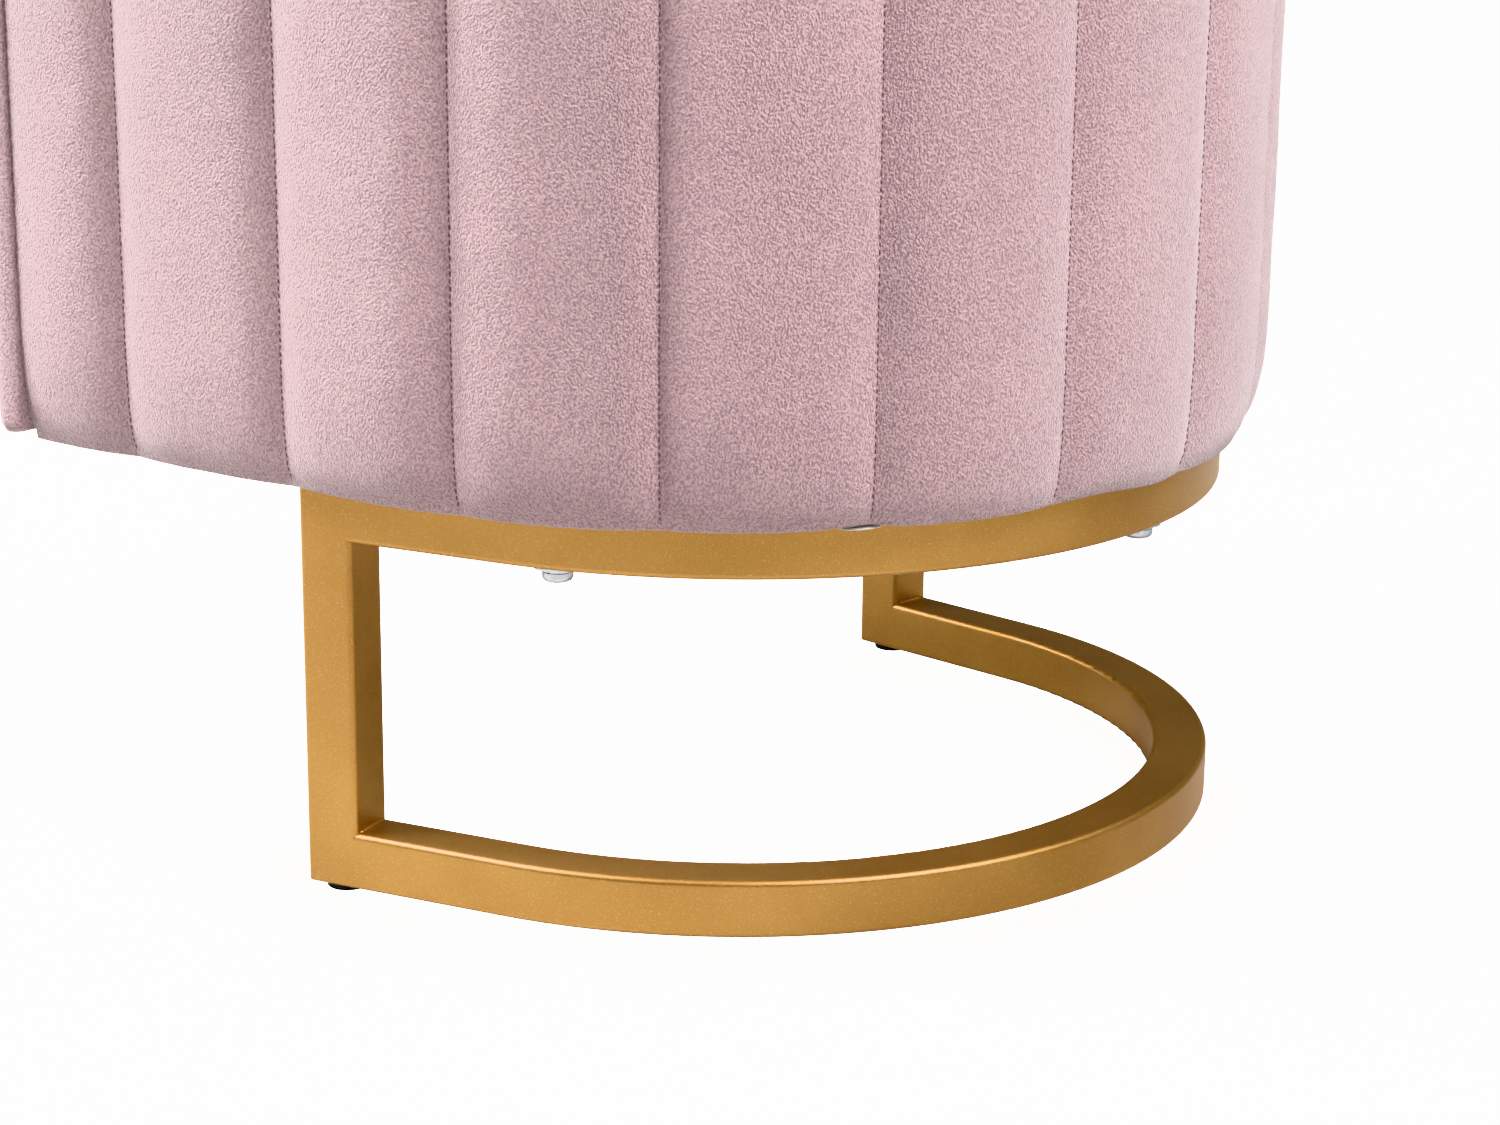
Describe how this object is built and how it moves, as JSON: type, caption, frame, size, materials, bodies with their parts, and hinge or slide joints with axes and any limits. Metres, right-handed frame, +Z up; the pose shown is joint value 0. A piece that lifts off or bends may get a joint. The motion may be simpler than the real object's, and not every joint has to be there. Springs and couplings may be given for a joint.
{
  "type": "barrel chair",
  "caption": "Round-backed barrel chair in channelled pink velvet, with a loose seat cushion, on a gold bent-tube base with screw-adjusted levelling feet.",
  "frame": {"origin": "on the floor, under the middle of the chair's bounding box", "axes": "+Z up, the seat faces -Y and the round back points to +Y, +X to the right as seen from the front, as left and right are in the names"},
  "size_m": [0.61, 0.56, 0.735],
  "materials": {
    "gold_steel": "satin",
    "zinc_steel": "satin",
    "spring_steel": "satin",
    "black_plastic": "matte",
    "plywood": "matte",
    "softwood": "matte",
    "panel_board": "matte",
    "foam": "matte",
    "felt": "matte",
    "lining": "matte",
    "pink_velvet": "matte",
    "zip_tape": "matte"
  },
  "bodies": {
    "root": {"base_top_ring": "gold_steel", "base_bottom_ring": "gold_steel", "base_post_left": "gold_steel", "base_post_right": "gold_steel", "foot_nuts": "zinc_steel", "mounting_bolts": "zinc_steel", "flat_washers": "zinc_steel", "spring_washers": "zinc_steel", "tee_nuts": "zinc_steel", "frame_screws": "zinc_steel", "base_board": "plywood", "front_rail": "softwood", "seat_rib": "plywood", "middle_rib": "plywood", "top_rib": "plywood", "lower_studs": "softwood", "upper_studs": "softwood", "arm_front_board_left": "plywood", "arm_front_board_right": "plywood", "corner_blocks": "softwood", "outer_board": "panel_board", "inner_board": "panel_board", "inner_foam": "foam", "outer_channel_panel": "pink_velvet", "inner_channel_panel": "pink_velvet", "top_roll": "pink_velvet", "arm_front_pad_left": "pink_velvet", "arm_front_pad_right": "pink_velvet", "front_apron": "pink_velvet", "dust_cover": "lining", "dust_cover_staples": "zinc_steel", "seat_springs": "spring_steel", "spring_clips": "zinc_steel", "deck_pad": "felt", "deck_foam": "foam", "deck_cover": "lining"},
    "cushion": {"cushion_cover": "pink_velvet", "cushion_foam": "foam", "cushion_zip": "zip_tape"},
    "foot_pad_left": {"foot_pad_left": "black_plastic"},
    "foot_stem_left": {"foot_stem_left": "zinc_steel"},
    "foot_pad_right": {"foot_pad_right": "black_plastic"},
    "foot_stem_right": {"foot_stem_right": "zinc_steel"},
    "foot_pad_back": {"foot_pad_back": "black_plastic"},
    "foot_stem_back": {"foot_stem_back": "zinc_steel"}
  },
  "joints": [
    {"name": "cushion_lift", "type": "slide", "parent": "root", "child": "cushion", "axis": [0, 0, 1], "range_m": [0, 0.3]},
    {"name": "foot_left_height", "type": "slide", "parent": "root", "child": "foot_pad_left", "axis": [0, 0, -1], "range_m": [0, 0.008]},
    {"name": "foot_left_screw", "type": "hinge", "parent": "foot_pad_left", "child": "foot_stem_left", "pos_m": [-0.26553, -0.06919, 0.015], "axis": [0, 0, 1], "range_deg": [0, 2304]},
    {"name": "foot_right_height", "type": "slide", "parent": "root", "child": "foot_pad_right", "axis": [0, 0, -1], "range_m": [0, 0.008]},
    {"name": "foot_right_screw", "type": "hinge", "parent": "foot_pad_right", "child": "foot_stem_right", "pos_m": [0.26553, -0.06919, 0.015], "axis": [0, 0, 1], "range_deg": [0, 2304]},
    {"name": "foot_back_height", "type": "slide", "parent": "root", "child": "foot_pad_back", "axis": [0, 0, -1], "range_m": [0, 0.008]},
    {"name": "foot_back_screw", "type": "hinge", "parent": "foot_pad_back", "child": "foot_stem_back", "pos_m": [0, 0.243, 0.015], "axis": [0, 0, 1], "range_deg": [0, 2304]}
  ],
  "couplings": [
    {"joint": "foot_left_screw", "follows": "foot_left_height", "rad_per_m": 5026.5},
    {"joint": "foot_right_screw", "follows": "foot_right_height", "rad_per_m": 5026.5},
    {"joint": "foot_back_screw", "follows": "foot_back_height", "rad_per_m": 5026.5}
  ]
}
